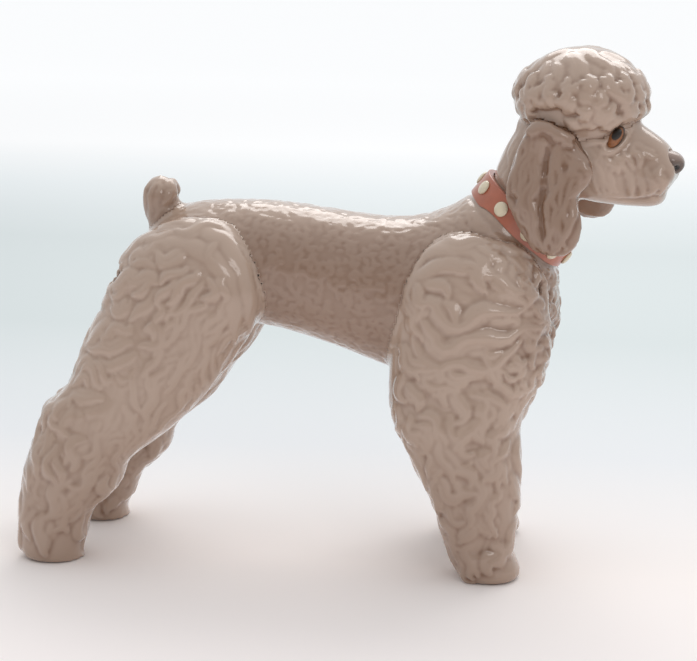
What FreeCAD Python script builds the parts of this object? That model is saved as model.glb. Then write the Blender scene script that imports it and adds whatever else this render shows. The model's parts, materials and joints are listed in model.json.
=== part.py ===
"""A standing poodle figurine in slip-cast, glazed porcelain.

The figure is cast in separate hollow pieces: a torso, a head with its neck, four legs, a topknot, two ears and a
tail. Before firing they are luted together with liquid slip, face to face. A strap of clay with raised studs goes
round the neck over the seam between the torso and the head. The eyes and the nose are set into sockets of the head.

Frame: millimetres, +X towards the dog's nose, +Y towards its left side, +Z up. The origin is on the floor, at the
middle of the figure's bounding box. The right side is the one at -Y.
"""

import FreeCAD, Part
import math
import os

import Sketcher

V = FreeCAD.Vector
doc = FreeCAD.newDocument("poodle_figurine")

# ---------------------------------------------------------------------------------------------------------------
# Dimensions, in millimetres and degrees. Each line is one cell of the sheet: name, value or formula, what it is.
# ---------------------------------------------------------------------------------------------------------------
DIMENSIONS = [
    ("body_length", 168.0, "rump to forechest"),
    ("back_height", 138.0, "floor to the lowest point of the back"),
    ("body_depth", 59.0, "back to belly, just behind the forelegs"),
    ("body_width", 54.0, "side to side, just behind the forelegs"),
    ("wall", 3.5, "thickness of the cast wall"),
    ("rump_x", "=-body_length / 2", "rearmost point of the torso"),
    ("collar_x", "=body_length * 0.412", "centre of the seam under the collar"),
    ("collar_z", "=back_height + 2", "centre of the seam under the collar"),
    ("collar_slope", 39.5, "how far the seam's plane drops towards the throat, from level"),
    ("neck_depth", 42.0, "nape to throat at the seam"),
    ("neck_width", 36.0, "side to side at the seam"),
    ("collar_band", 11.0, "width of the strap"),
    ("collar_rise", 1.8, "how far the strap stands proud of the neck"),
    ("collar_edge", 0.5, "rounding of the strap's edges"),
    ("stud_diameter", 6.4, "one stud"),
    ("stud_rise", 1.6, "how far a stud stands proud of the strap"),
    ("stud_count", 10, "studs round the strap"),
    ("stud_phase", 0.22, "how far the first stud is past the nape, as a share of their spacing"),
    ("foreleg_x", "=body_length * 0.3274", "middle of the foreleg's pastern"),
    ("foreleg_height", "=back_height - 0.5", "sole to the top of the shoulder hair"),
    ("foreleg_depth", 62.0, "front to back of the thickest hair"),
    ("foreleg_width", "=body_width * 2 / 3", "side to side of the thickest hair"),
    ("foreleg_stance", "=body_width", "between the middles of the two feet"),
    ("foreleg_shift", 0.0, "how far the two feet stand to the left of the middle"),
    ("foreleg_step", -6.0, "how far the left foot stands ahead of the right one"),
    ("foreleg_bend", 0.0, "how far the left shin is carried ahead of the line of its leg"),
    ("hindleg_x", "=-body_length * 0.6905", "middle of the hind foot"),
    ("hindleg_height", "=back_height + 0.5", "sole to the top of the hip hair"),
    ("hindleg_depth", 64.0, "front to back of the thickest hair"),
    ("hindleg_width", "=body_width * 2 / 3", "side to side of the thickest hair"),
    ("hindleg_stance", "=body_width", "between the middles of the two feet"),
    ("hindleg_shift", -2.5, "how far the two feet stand to the left of the middle"),
    ("hindleg_step", 5.0, "how far the left foot stands ahead of the right one"),
    ("hindleg_bend", 3.5, "how far the left shin is carried ahead of the line of its leg"),
    ("head_x", "=collar_x + 14.8", "point that the head turns about"),
    ("head_turn", 10.0, "how far the head looks to its right"),
    ("head_length", 63.5, "back of the skull to the upper lip"),
    ("head_height", 41.5, "jaw to the skull's top under the topknot"),
    ("head_width", 33.0, "side to side at the cheeks"),
    ("jaw_height", "=collar_z + 7", "floor to the underside of the jaw"),
    ("skull_back", "=head_length * 0.2835", "from the turning point to the back of the skull"),
    ("topknot_along", 6.6, "middle of the topknot, ahead of the turning point"),
    ("topknot_length", 49.5, "front to back"),
    ("topknot_width", 46.0, "side to side"),
    ("topknot_height", 39.0, "its whole ball, part of which the skull hides"),
    ("topknot_top", "=jaw_height + head_height + 19.5", "floor to the top of the topknot"),
    ("ear_top", "=jaw_height + head_height * 0.83", "floor to the top of the ears"),
    ("ear_length", 51.0, "top to tip"),
    ("ear_breadth", 29.0, "front to back of the ear hair"),
    ("ear_thickness", 9.0, "through the ear hair"),
    ("ear_spread", "=head_width * 1.545", "between the middles of the two ears at their tips"),
    ("ear_lift", 6.0, "how much shorter the left ear hangs"),
    ("ear_advance", 3.0, "how far the left ear hangs ahead of the right one"),
    ("tail_diameter", 14.5, "thickest part of the tail"),
    ("tail_height", 21.0, "root to tip, of which the rump hides the root"),
    ("tail_lean", 4.0, "how far the tail leans back"),
    ("eye_length", 8.6, "along the slant of the lids"),
    ("eye_breadth", 5.2, "across the lids"),
    ("eye_depth", 4.0, "front to back of the eyeball"),
    ("eye_along", "=head_length * 0.367", "ahead of the turning point"),
    ("eye_high", "=head_height * 0.684", "above the jaw"),
    ("eye_spread", "=head_width * 0.758", "between the middles of the eyes"),
    ("eye_slant", 57.0, "how steeply the lids run, seen from the side"),
    ("eye_toe_in", 24.0, "how far an eye looks forwards of square to the side"),
    ("nose_width", 10.0, "side to side"),
    ("nose_height", 8.8, "top to bottom"),
    ("nose_depth", 9.2, "front to back"),
    ("nose_along", "=head_length * 0.674", "ahead of the turning point"),
    ("nose_high", "=head_height * 0.4435", "above the jaw"),
    ("vent_diameter", 3.2, "air hole under the belly, which lets steam out of the hollow in the kiln"),
    ("luting_hole", 8.0, "air passage between two hollows"),
]

sheet = doc.addObject("Spreadsheet::Sheet", "dims")
for row, (name, value, meaning) in enumerate(DIMENSIONS, start=1):
    sheet.set(f"A{row}", name)
    sheet.set(f"B{row}", str(value))
    sheet.set(f"C{row}", meaning)
    sheet.setAlias(f"B{row}", name)
doc.recompute()


def dim(name):
    """The value of a named cell."""
    return float(sheet.get(name))


# ---------------------------------------------------------------------------------------------------------------
# Ovals and lofts
# ---------------------------------------------------------------------------------------------------------------
OVAL_POINTS = 16
FULLNESS = 2.15  # exponent of the oval: 2 is an ellipse, more is squarer


def oval(centre, side, rise, half_side, half_rise):
    """A closed smooth oval about centre, half_side along side and half_rise along rise, that starts at its underside."""
    points = []
    for k in range(OVAL_POINTS):
        a = 2 * math.pi * k / OVAL_POINTS - math.pi / 2
        c, s = math.cos(a), math.sin(a)
        u = math.copysign(abs(c) ** (2 / FULLNESS), c)
        v = math.copysign(abs(s) ** (2 / FULLNESS), s)
        points.append(centre + side * (half_side * u) + rise * (half_rise * v))
    curve = Part.BSplineCurve()
    curve.interpolate(Points=points, PeriodicFlag=True)
    return Part.Wire(curve.toShape())


def loft(sections, inset=0.0):
    """A solid through sections of (centre, side, rise, half_side, half_rise), taken in by one inset or one each."""
    insets = [inset] * len(sections) if isinstance(inset, float) else inset
    wires = [oval(c, s, r, hs - i, hr - i) for (c, s, r, hs, hr), i in zip(sections, insets)]
    return Part.makeLoft(wires, True, False)


def feature(name, shape):
    """A document object that holds a shape made with Part's own functions."""
    made = doc.addObject("Part::Feature", name)
    made.Shape = shape
    return made


def cut(name, base, *tools):
    """base with the tools taken away one after the other, as booleans of the document."""
    for step, tool in enumerate(tools, start=1):
        made = doc.addObject("Part::Cut", name if step == len(tools) else f"{name}_less_{step}")
        made.Base = base
        made.Tool = tool
        made.Refine = False
        base = made
    return base


def fuse(name, *shapes):
    made = doc.addObject("Part::MultiFuse", name)
    made.Shapes = list(shapes)
    return made


# ---------------------------------------------------------------------------------------------------------------
# Torso: sections that stand upright along the body, then fan up and round the forechest to the collar's seam
# ---------------------------------------------------------------------------------------------------------------
# Each row is a section: where its top and its bottom lie, and its half width. Along is a share of body_length from
# the rump. High is counted from the lowest point of the back, as a share of body_depth. Wide is a share of the half
# width.
TORSO_SECTIONS = [
    ("rump", 0.000, -0.24, 0.000, -0.42, 0.18),
    ("tail_head", 0.020, -0.09, 0.015, -0.56, 0.48),
    ("croup", 0.065, 0.015, 0.060, -0.70, 0.72),
    ("hip", 0.150, 0.083, 0.150, -0.78, 0.84),
    ("loin", 0.285, 0.097, 0.285, -0.745, 0.86),
    ("flank", 0.435, 0.056, 0.435, -0.84, 0.95),
    ("ribs", 0.595, 0.010, 0.595, -1.00, 1.00),
    ("withers", 0.695, 0.047, 0.745, -1.13, 1.04),
    ("shoulder", 0.745, 0.103, 0.890, -1.10, 1.04),
    ("forechest", 0.775, 0.155, 0.985, -0.76, 0.96),
    ("throat", 0.797, 0.200, 0.988, -0.46, 0.83),
]


def seam_frame():
    """Centre of the collar's seam, its directions towards the nape and to the left, and the neck's own axis."""
    slope = math.radians(dim("collar_slope"))
    centre = V(dim("collar_x"), 0, dim("collar_z"))
    nape = V(-math.cos(slope), 0, math.sin(slope))
    axis = V(math.sin(slope), 0, math.cos(slope))
    return centre, nape, V(0, 1, 0), axis


def torso_sections():
    """The stations from the rump to the seam, the last of which is the seam's own oval."""
    found = []
    for _, along_top, high_top, along_low, high_low, wide in TORSO_SECTIONS:
        top = V(dim("rump_x") + along_top * dim("body_length"), 0, dim("back_height") + high_top * dim("body_depth"))
        low = V(dim("rump_x") + along_low * dim("body_length"), 0, dim("back_height") + high_low * dim("body_depth"))
        rise = (top - low).normalize()
        half = top.distanceToPoint(low) / 2
        found.append(((top + low) / 2, V(0, 1, 0), rise, wide * dim("body_width") / 2, half))
    centre, nape, left, _ = seam_frame()
    found.append((centre, left, nape, dim("neck_width") / 2, dim("neck_depth") / 2))
    return found


torso_outer = feature("torso_outer", loft(torso_sections()))
torso_core = feature("torso_core", loft(torso_sections()[2:], dim("wall")))

# ---------------------------------------------------------------------------------------------------------------
# Legs: level sections from the sole up
# ---------------------------------------------------------------------------------------------------------------
# Each row: height as a share of the leg's height, middle along X in millimetres from the leg's own place, half depth
# and half width as shares of the leg's half depth and half width, and how far the middle leans in from the foot's.
FORELEG_SECTIONS = [
    ("sole", 0.000, 4.9, 0.365, 0.62, 0.0),
    ("paw", 0.030, 4.7, 0.403, 0.69, 0.0),
    ("pastern", 0.085, 1.5, 0.410, 0.67, 0.0),
    ("cannon", 0.170, 0.0, 0.500, 0.74, 0.4),
    ("shin", 0.260, -2.1, 0.574, 0.80, 1.0),
    ("knee", 0.345, -4.8, 0.669, 0.86, 2.0),
    ("forearm", 0.430, -8.0, 0.768, 0.92, 3.4),
    ("elbow", 0.510, -8.6, 0.871, 0.96, 5.2),
    ("arm", 0.600, -6.2, 0.970, 0.99, 7.0),
    ("upper_arm", 0.680, -5.0, 1.000, 1.00, 8.0),
    ("point", 0.790, -5.2, 0.960, 0.98, 8.8),
    ("shoulder", 0.900, -3.6, 0.800, 0.84, 9.5),
    ("crest", 0.970, -3.0, 0.520, 0.56, 10.5),
    ("top", 1.000, -2.5, 0.200, 0.22, 12.0),
]
HINDLEG_SECTIONS = [
    ("sole", 0.000, -1.3, 0.385, 0.62, 0.0),
    ("foot", 0.055, -2.5, 0.408, 0.70, 0.0),
    ("ankle", 0.105, -1.7, 0.430, 0.68, 0.0),
    ("cannon", 0.165, 0.8, 0.493, 0.70, 0.0),
    ("lower", 0.240, 6.6, 0.606, 0.74, 0.4),
    ("pad", 0.290, 8.7, 0.622, 0.77, 0.8),
    ("shank", 0.355, 15.3, 0.728, 0.80, 1.6),
    ("hock", 0.420, 22.0, 0.875, 0.84, 2.6),
    ("heel", 0.458, 25.6, 0.918, 0.87, 3.2),
    ("above_hock", 0.498, 31.6, 0.890, 0.90, 4.0),
    ("gaskin", 0.560, 37.8, 0.919, 0.94, 5.0),
    ("stifle", 0.650, 44.4, 0.981, 1.00, 7.0),
    ("thigh", 0.760, 52.0, 1.005, 1.00, 8.0),
    ("haunch", 0.880, 55.0, 0.870, 0.88, 9.0),
    ("crest", 0.960, 57.0, 0.600, 0.60, 11.0),
    ("top", 1.000, 58.0, 0.240, 0.24, 13.0),
]
CORE_FROM, CORE_TO = 2, -2  # the hollow leaves out the foot and the top two sections
CORE_CROWN = {"foreleg": 1.0, "hindleg": 2.4}  # the hollow's top section is taken in by this many walls
PASSAGE_AT = -4  # the section that the air passage starts from


def leg_sections(kind, table, side):
    """Stations of one leg. side is -1 on the dog's right and +1 on its left."""
    step, bend = (dim(kind + "_step"), dim(kind + "_bend")) if side > 0 else (0.0, 0.0)
    found = []
    for _, share, along, deep, wide, lean in table:
        height = share * dim(kind + "_height")
        ahead = step * (1 - share) + bend * math.sin(math.pi * min(1.0, 2 * share))
        out = dim(kind + "_stance") / 2 - lean
        shift = dim(kind + "_shift") * (1 - share)
        middle = V(dim(kind + "_x") + along + ahead, side * out + shift, height)
        half_deep = deep * dim(kind + "_depth") / 2
        half_wide = wide * dim(kind + "_width") / 2
        found.append((middle, V(1, 0, 0), V(0, 1, 0), half_deep, half_wide))
    return found


def luting_passage(name, length, placement):
    """An air passage between two hollows: a cylinder that is as long as the formula length says."""
    passage = doc.addObject("Part::Cylinder", name)
    passage.setExpression("Radius", "dims.luting_hole / 2")
    passage.setExpression("Height", length)
    passage.Placement = placement
    return passage


legs, passages, leg_outers = [], [], []
for kind, table in (("foreleg", FORELEG_SECTIONS), ("hindleg", HINDLEG_SECTIONS)):
    for side, word in ((-1, "right"), (1, "left")):
        sections = leg_sections(kind, table, side)
        node = f"{word}_{'foreleg' if kind == 'foreleg' else 'hind_leg'}"
        outer = feature(node + "_outer", loft(sections))
        hollow = sections[CORE_FROM:CORE_TO]
        insets = [dim("wall")] * (len(hollow) - 1) + [CORE_CROWN[kind] * dim("wall")]
        core = feature(node + "_core", loft(hollow, insets))
        leg = cut(node, outer, torso_outer, core)
        leg.Label = node
        start = sections[PASSAGE_AT][0]
        start.y = side * (dim("body_width") / 2 + dim("wall"))
        inwards = FreeCAD.Placement(start, FreeCAD.Rotation(V(1, 0, 0), 90 * side))
        passage = luting_passage(node + "_passage", "dims.body_width / 2", inwards)
        legs.append(leg)
        passages.append(passage)
        leg_outers.append(outer)

# ---------------------------------------------------------------------------------------------------------------
# Head: a neck that rises from the seam, and a skull and muzzle turned a little to the dog's right
# ---------------------------------------------------------------------------------------------------------------
# Neck: how far the section has climbed from the seam towards the skull, its middle and half depth in millimetres,
# how much of the seam's slope is left, and its half width as a share of the neck's.
NECK_SECTIONS = [
    ("throat", 4.8, 12.6, 17.4, 0.60, 0.88),
    ("nape", 9.0, 24.0, 16.8, 0.40, 0.82),
    ("poll", 12.0, 34.0, 14.6, 0.20, 0.70),
]
# Skull and muzzle: along as a share of head_length from the back of the skull, low and high as shares of
# head_height above the jaw, and the half width as a share of the head's.
SKULL_SECTIONS = [
    ("occiput", 0.000, 0.50, 0.76, 0.34),
    ("back", 0.070, 0.36, 0.89, 0.66),
    ("ear_base", 0.220, 0.20, 0.988, 0.92),
    ("cheek", 0.400, 0.05, 1.000, 1.00),
    ("brow", 0.567, 0.01, 0.940, 0.94),
    ("eye", 0.685, 0.00, 0.855, 0.80),
    ("stop", 0.772, 0.00, 0.761, 0.70),
    ("muzzle", 0.874, 0.015, 0.660, 0.64),
    ("lips", 0.953, 0.10, 0.545, 0.57),
    ("front", 1.000, 0.20, 0.440, 0.38),
]


def turned(shape):
    """A shape of the head, turned about the upright line through head_x."""
    made = shape.copy()
    made.rotate(V(dim("head_x"), 0, 0), V(0, 0, 1), -dim("head_turn"))
    return made


def turned_placement(at, rotation=FreeCAD.Rotation()):
    """The placement of a piece of the head that is at `at` before the head turns."""
    turn = FreeCAD.Rotation(V(0, 0, 1), -dim("head_turn"))
    pivot = V(dim("head_x"), 0, 0)
    return FreeCAD.Placement(turn.multVec(at - pivot) + pivot, turn.multiply(rotation))


def neck_sections():
    centre, nape, left, _ = seam_frame()
    found = [(centre, left, nape, dim("neck_width") / 2, dim("neck_depth") / 2)]
    for _, ahead, climb, half, slope_left, wide in NECK_SECTIONS:
        slope = math.radians(dim("collar_slope") * slope_left)
        rise = V(-math.cos(slope), 0, math.sin(slope))
        found.append((centre + V(ahead, 0, climb), left, rise, wide * dim("neck_width") / 2, half))
    return found


def skull_sections():
    found = []
    for _, along, low, high, wide in SKULL_SECTIONS:
        x = dim("head_x") - dim("skull_back") + along * dim("head_length")
        z_low = dim("jaw_height") + low * dim("head_height")
        z_high = dim("jaw_height") + high * dim("head_height")
        middle = V(x, 0, (z_low + z_high) / 2)
        found.append((middle, V(0, 1, 0), V(0, 0, 1), wide * dim("head_width") / 2, (z_high - z_low) / 2))
    return found


neck_outer = feature("neck_outer", loft(neck_sections()))
skull_outer = feature("skull_outer", turned(loft(skull_sections())))
head_outer = fuse("head_outer", neck_outer, skull_outer)
neck_core = feature("neck_core", loft(neck_sections(), dim("wall")))
skull_core = feature("skull_core", turned(loft(skull_sections()[1:5], dim("wall"))))
head_core = fuse("head_core", neck_core, skull_core)

# ---------------------------------------------------------------------------------------------------------------
# Eyes and nose: small ellipsoids that sit in sockets of the head
# ---------------------------------------------------------------------------------------------------------------
def ellipsoid(name, at, turn, depth, breadth, length):
    """A Part::Ellipsoid with its three diameters bound to cells: depth along Z, breadth along X, length along Y."""
    made = doc.addObject("Part::Ellipsoid", name)
    made.setExpression("Radius1", f"dims.{depth} / 2")
    made.setExpression("Radius2", f"dims.{breadth} / 2")
    made.setExpression("Radius3", f"dims.{length} / 2")
    made.Placement = turned_placement(at, turn)
    made.Label = name
    return made


eyes = []
for side, word in ((-1, "right"), (1, "left")):
    at = V(dim("head_x") + dim("eye_along"), side * dim("eye_spread") / 2, dim("jaw_height") + dim("eye_high"))
    outward = FreeCAD.Rotation(V(1, 0, 0), -90 * side)
    toe_in = FreeCAD.Rotation(V(0, 0, 1), -dim("eye_toe_in") * side)
    slant = FreeCAD.Rotation(V(0, 0, 1), dim("eye_slant") if side < 0 else -dim("eye_slant"))
    turn = toe_in.multiply(outward).multiply(slant)
    eyes.append(ellipsoid(word + "_eye", at, turn, "eye_depth", "eye_length", "eye_breadth"))
nose_at = V(dim("head_x") + dim("nose_along"), 0, dim("jaw_height") + dim("nose_high"))
nose = ellipsoid("nose", nose_at, FreeCAD.Rotation(), "nose_height", "nose_depth", "nose_width")

# Topknot: a hollow ball that the skull carries, with its own air passage down into the skull
topknot_at = V(dim("head_x") + dim("topknot_along"), 0, dim("topknot_top") - dim("topknot_height") / 2)
topknot_ball = ellipsoid("topknot_ball", topknot_at, FreeCAD.Rotation(), "topknot_height", "topknot_length",
                         "topknot_width")
topknot_core = doc.addObject("Part::Ellipsoid", "topknot_core")
topknot_core.setExpression("Radius1", "dims.topknot_height / 2 - 2 * dims.wall")
topknot_core.setExpression("Radius2", "dims.topknot_length / 2 - 2 * dims.wall")
topknot_core.setExpression("Radius3", "dims.topknot_width / 2 - 2 * dims.wall")
topknot_core.Placement = topknot_ball.Placement
crown = V(dim("head_x") + dim("topknot_along"), 0, dim("jaw_height") + dim("head_height") - 2 * dim("wall"))
topknot_passage = luting_passage("topknot_passage", "3 * dims.wall", turned_placement(crown))
topknot = cut("topknot", topknot_ball, topknot_core, head_outer, *eyes)
topknot.Label = "topknot"

head = cut("head", head_outer, head_core, torso_outer, topknot_passage, nose, *eyes)
head.Label = "head"

# ---------------------------------------------------------------------------------------------------------------
# Torso casting: the loft less its hollow, the air hole and the passages into the legs
# ---------------------------------------------------------------------------------------------------------------
VENT_ALONG = 0.435  # of body_length, from the rump
vent = doc.addObject("Part::Cylinder", "belly_vent")
vent.setExpression("Radius", "dims.vent_diameter / 2")
vent.setExpression("Height", "dims.body_depth / 2")
vent.Placement = FreeCAD.Placement(
    V(dim("rump_x") + VENT_ALONG * dim("body_length"), 0, dim("back_height") - dim("body_depth")), FreeCAD.Rotation())
torso = cut("torso", torso_outer, torso_core, vent, *passages)
torso.Label = "torso"

# ---------------------------------------------------------------------------------------------------------------
# Collar strap and its studs
# ---------------------------------------------------------------------------------------------------------------
centre, nape, left, axis = seam_frame()
half_deep = dim("neck_depth") / 2 + dim("collar_rise")
half_wide = dim("neck_width") / 2 + dim("collar_rise")

collar_body = doc.addObject("PartDesign::Body", "collar_body")
band_sketch = collar_body.newObject("Sketcher::SketchObject", "band_outline")
band_plane = next(f for f in collar_body.Origin.OriginFeatures if f.Role == "XY_Plane")
band_sketch.AttachmentSupport = [(band_plane, "")]
band_sketch.MapMode = "FlatFace"
deep_end, wide_end = V(half_deep, 0, 0), V(0, half_wide, 0)
deeper = half_deep >= half_wide
far_end, near_end = (deep_end, wide_end) if deeper else (wide_end, -deep_end)
outline = band_sketch.addGeometry(Part.Ellipse(far_end, near_end, V(0, 0, 0)), False)
band_sketch.exposeInternalGeometry(outline)
deep_axis, wide_axis = (outline + 1, outline + 2) if deeper else (outline + 2, outline + 1)
band_sketch.addConstraint(Sketcher.Constraint("Coincident", outline, 3, -1, 1))
band_sketch.addConstraint(Sketcher.Constraint("Horizontal", deep_axis))
deep_at = band_sketch.addConstraint(Sketcher.Constraint("Distance", deep_axis, 2 * half_deep))
wide_at = band_sketch.addConstraint(Sketcher.Constraint("Distance", wide_axis, 2 * half_wide))
band_sketch.setExpression(f"Constraints[{deep_at}]", "dims.neck_depth + 2 * dims.collar_rise")
band_sketch.setExpression(f"Constraints[{wide_at}]", "dims.neck_width + 2 * dims.collar_rise")
doc.recompute()
band_pad = collar_body.newObject("PartDesign::Pad", "band")
band_pad.Profile = band_sketch
band_pad.setExpression("Length", "dims.collar_band")
band_pad.Midplane = True
doc.recompute()
band_round = collar_body.newObject("PartDesign::Fillet", "band_edges")
band_rims = [f"Edge{i}" for i, edge in enumerate(band_pad.Shape.Edges, start=1) if edge.isClosed()]
band_round.Base = (band_pad, band_rims)
band_round.setExpression("Radius", "dims.collar_edge")
doc.recompute()
collar_body.Placement = FreeCAD.Placement(centre, FreeCAD.Rotation(V(nape), V(left), V(axis), "ZXY"))
collar = cut("collar", collar_body, torso_outer, head_outer)
collar.Label = "collar"

studs = []
for k in range(int(dim("stud_count"))):
    a = 2 * math.pi * (k + dim("stud_phase")) / dim("stud_count")
    stud = doc.addObject("Part::Sphere", f"stud_{k + 1}")
    stud.setExpression("Radius", "dims.stud_diameter / 2")
    sink = dim("stud_diameter") / 2 - dim("stud_rise")
    at = centre + nape * ((half_deep - sink) * math.cos(a)) + left * ((half_wide - sink) * math.sin(a))
    stud.Placement = FreeCAD.Placement(at, FreeCAD.Rotation())
    studs.append(stud)
stud_ring = doc.addObject("Part::Compound", "stud_ring")
stud_ring.Links = studs
collar_studs = cut("collar_studs", stud_ring, collar_body, torso_outer, head_outer)
collar_studs.Label = "collar_studs"

# ---------------------------------------------------------------------------------------------------------------
# Ears and tail
# ---------------------------------------------------------------------------------------------------------------
# Ear: height below its top as a share of ear_length, middle ahead of the turning point in millimetres, half breadth
# and half thickness as shares, and how far the middle stands out, from 0 at the skull to 1 at half of ear_spread.
EAR_SECTIONS = [
    ("root", 0.00, -1.0, 0.22, 0.30, 0.66),
    ("fold", 0.06, -1.0, 0.55, 0.62, 0.70),
    ("upper", 0.20, -1.6, 0.80, 0.90, 0.76),
    ("middle", 0.38, -1.8, 0.98, 1.00, 0.82),
    ("swell", 0.55, -1.5, 1.00, 1.00, 0.90),
    ("lower", 0.72, 0.5, 0.88, 0.96, 0.96),
    ("tip", 0.89, 2.6, 0.66, 0.84, 1.00),
    ("end", 1.00, 3.4, 0.26, 0.40, 1.00),
]


def ear_sections(side):
    length, ahead = dim("ear_length"), 0.0
    if side > 0:
        length -= dim("ear_lift")
        ahead = dim("ear_advance")
    found = []
    for _, drop, along, broad, thick, out in EAR_SECTIONS:
        middle = V(dim("head_x") + along + ahead, side * out * dim("ear_spread") / 2, dim("ear_top") - drop * length)
        half_broad = broad * dim("ear_breadth") / 2
        half_thick = thick * dim("ear_thickness") / 2
        found.append((middle, V(1, 0, 0), V(0, 1, 0), half_broad, half_thick))
    return found


ears = []
for side, word in ((-1, "right"), (1, "left")):
    outer = feature(word + "_ear_outer", turned(loft(ear_sections(side))))
    ear = cut(word + "_ear", outer, head_outer, topknot_ball, collar_body, torso_outer, stud_ring)
    ear.Label = word + "_ear"
    ears.append(ear)

# Tail: a round knob, turned like a baluster, that leans back a little
TAIL_PROFILE = [(0.0, 0.84), (0.25, 0.94), (0.55, 1.0), (0.80, 0.84), (0.95, 0.46)]  # height and radius, as shares
TAIL_BEHIND, TAIL_BELOW = 7.5, 6.0  # of the root, ahead of the rump's end and below the lowest point of the back
tail_tip = V(0, 0, dim("tail_height"))
tail_points = [V(r * dim("tail_diameter") / 2, 0, t * dim("tail_height")) for t, r in TAIL_PROFILE] + [tail_tip]
tail_curve = Part.BSplineCurve()
tail_curve.interpolate(Points=tail_points, InitialTangent=V(0.2, 0, 1), FinalTangent=V(-1, 0, 0))
tail_edges = [Part.makeLine(V(0, 0, 0), tail_points[0]), tail_curve.toShape(), Part.makeLine(tail_tip, V(0, 0, 0))]
tail_knob = feature("tail_knob", Part.Face(Part.Wire(tail_edges)).revolve(V(0, 0, 0), V(0, 0, 1), 360))
tail_at = V(dim("rump_x") + TAIL_BEHIND, 0, dim("back_height") - TAIL_BELOW)
tail_knob.Placement = FreeCAD.Placement(tail_at, FreeCAD.Rotation(V(0, 1, 0), -dim("tail_lean")))
tail = cut("tail", tail_knob, torso_outer, *leg_outers[2:])
tail.Label = "tail"

doc.recompute()

# ---------------------------------------------------------------------------------------------------------------
# Check every object, then write one STEP file for each piece, with the origin under the middle of the whole figure
# ---------------------------------------------------------------------------------------------------------------
faults = [o.Name for o in doc.Objects if "Invalid" in o.State or "Error" in o.State]
if faults:
    raise RuntimeError(f"these objects failed to build: {faults}")
pieces = [torso, head, topknot, *ears, *legs, tail, collar, collar_studs, *eyes, nose]
whole = Part.makeCompound([piece.Shape for piece in pieces]).optimalBoundingBox()
recentre = V(-whole.Center.x, -whole.Center.y, -whole.ZMin)
print(f"recentre {recentre}  size {whole.XLength:.2f} {whole.YLength:.2f} {whole.ZLength:.2f}")
os.makedirs("parts", exist_ok=True)
for piece in pieces:
    shape = piece.Shape.copy()
    shape.translate(recentre)
    if shape.isNull() or not shape.isValid() or not shape.Solids:
        raise RuntimeError(f"{piece.Label} has no valid solid")
    shape.exportStep(f"parts/{piece.Label}.step")
    print(f"{piece.Label:16s} solids {len(shape.Solids)}  volume {shape.Volume / 1000:7.2f} cm3")
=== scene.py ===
"""A glazed porcelain poodle: the coat's curls, the face, the collar and the stage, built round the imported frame.

Numbers in the modelling code are millimetres, in the frame's own axes: +X to the nose, +Y to the dog's left, +Z up.
Everything is turned into metres where a mesh is written.
"""
import json
import math
from contextlib import contextmanager

import bpy
import numpy as np
from mathutils import Matrix, Vector, kdtree
from mathutils.bvhtree import BVHTree

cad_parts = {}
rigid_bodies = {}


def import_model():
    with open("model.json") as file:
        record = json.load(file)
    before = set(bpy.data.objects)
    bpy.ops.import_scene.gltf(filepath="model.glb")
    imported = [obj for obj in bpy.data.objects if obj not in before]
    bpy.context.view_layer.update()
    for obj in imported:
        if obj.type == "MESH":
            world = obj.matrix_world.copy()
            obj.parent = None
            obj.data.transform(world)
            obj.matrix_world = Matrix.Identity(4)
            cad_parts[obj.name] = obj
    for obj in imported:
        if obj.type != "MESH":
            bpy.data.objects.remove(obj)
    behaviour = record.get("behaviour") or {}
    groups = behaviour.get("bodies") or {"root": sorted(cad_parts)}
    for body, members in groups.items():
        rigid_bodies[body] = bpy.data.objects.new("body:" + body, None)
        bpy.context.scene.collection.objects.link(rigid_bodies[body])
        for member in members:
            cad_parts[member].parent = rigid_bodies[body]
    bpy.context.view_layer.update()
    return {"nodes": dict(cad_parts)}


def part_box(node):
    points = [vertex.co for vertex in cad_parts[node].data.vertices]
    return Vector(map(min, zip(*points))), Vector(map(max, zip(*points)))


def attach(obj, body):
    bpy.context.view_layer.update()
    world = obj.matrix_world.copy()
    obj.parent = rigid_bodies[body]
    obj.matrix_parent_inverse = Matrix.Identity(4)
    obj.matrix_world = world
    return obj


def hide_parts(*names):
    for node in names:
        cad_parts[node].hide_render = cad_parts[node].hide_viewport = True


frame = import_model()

bl_info = {
    "name": "Porcelain poodle",
    "version": (1, 0, 0),
    "blender": (4, 5, 0),
    "location": "3D View > Sidebar > Poodle",
    "description": "Models a slip-cast, glazed poodle figurine round its castings",
    "category": "Object",
}

MM = 0.001
SAME_POINT = 1e-6
COLLAR_SLOPE = math.radians(39.5)
COLLAR_AXIS = np.array([math.sin(COLLAR_SLOPE), 0.0, math.cos(COLLAR_SLOPE)])
STRAP_FADE, STRAP_REACH = (6.0, 9.0), 34
STRAP_DEPTH, EAR_SEAM_DEPTH = 0.45, 0.25
VENT, VENT_RADIUS, VENT_DEPTH = (-10.5, 0.9, 88.5), 1.5, 3.0
GUIDE_EVERY = 3
STUD_RADII, STUD_SINK = (3.0, 3.0, 1.15), 0.4
EYE_SLANT = math.radians(57)
NEARLY_BLACK = (0.012, 0.008, 0.005)
CASTINGS = ["torso", "head", "topknot", "right_ear", "left_ear", "right_foreleg", "left_foreleg", "right_hind_leg",
            "left_hind_leg", "tail"]
TORSO, HEAD, TOPKNOT, RIGHT_EAR, LEFT_EAR, RIGHT_FORE, LEFT_FORE, RIGHT_HIND, LEFT_HIND, TAIL = range(len(CASTINGS))
HIND_LEGS, FORELEGS, EARS = [RIGHT_HIND, LEFT_HIND], [RIGHT_FORE, LEFT_FORE], [RIGHT_EAR, LEFT_EAR]


def box_mm(node):
    """A node's lowest and highest corners, in millimetres."""
    lo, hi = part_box(node)
    return np.array(lo) / MM, np.array(hi) / MM


def middle_mm(node):
    lo, hi = box_mm(node)
    return (lo + hi) / 2


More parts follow.
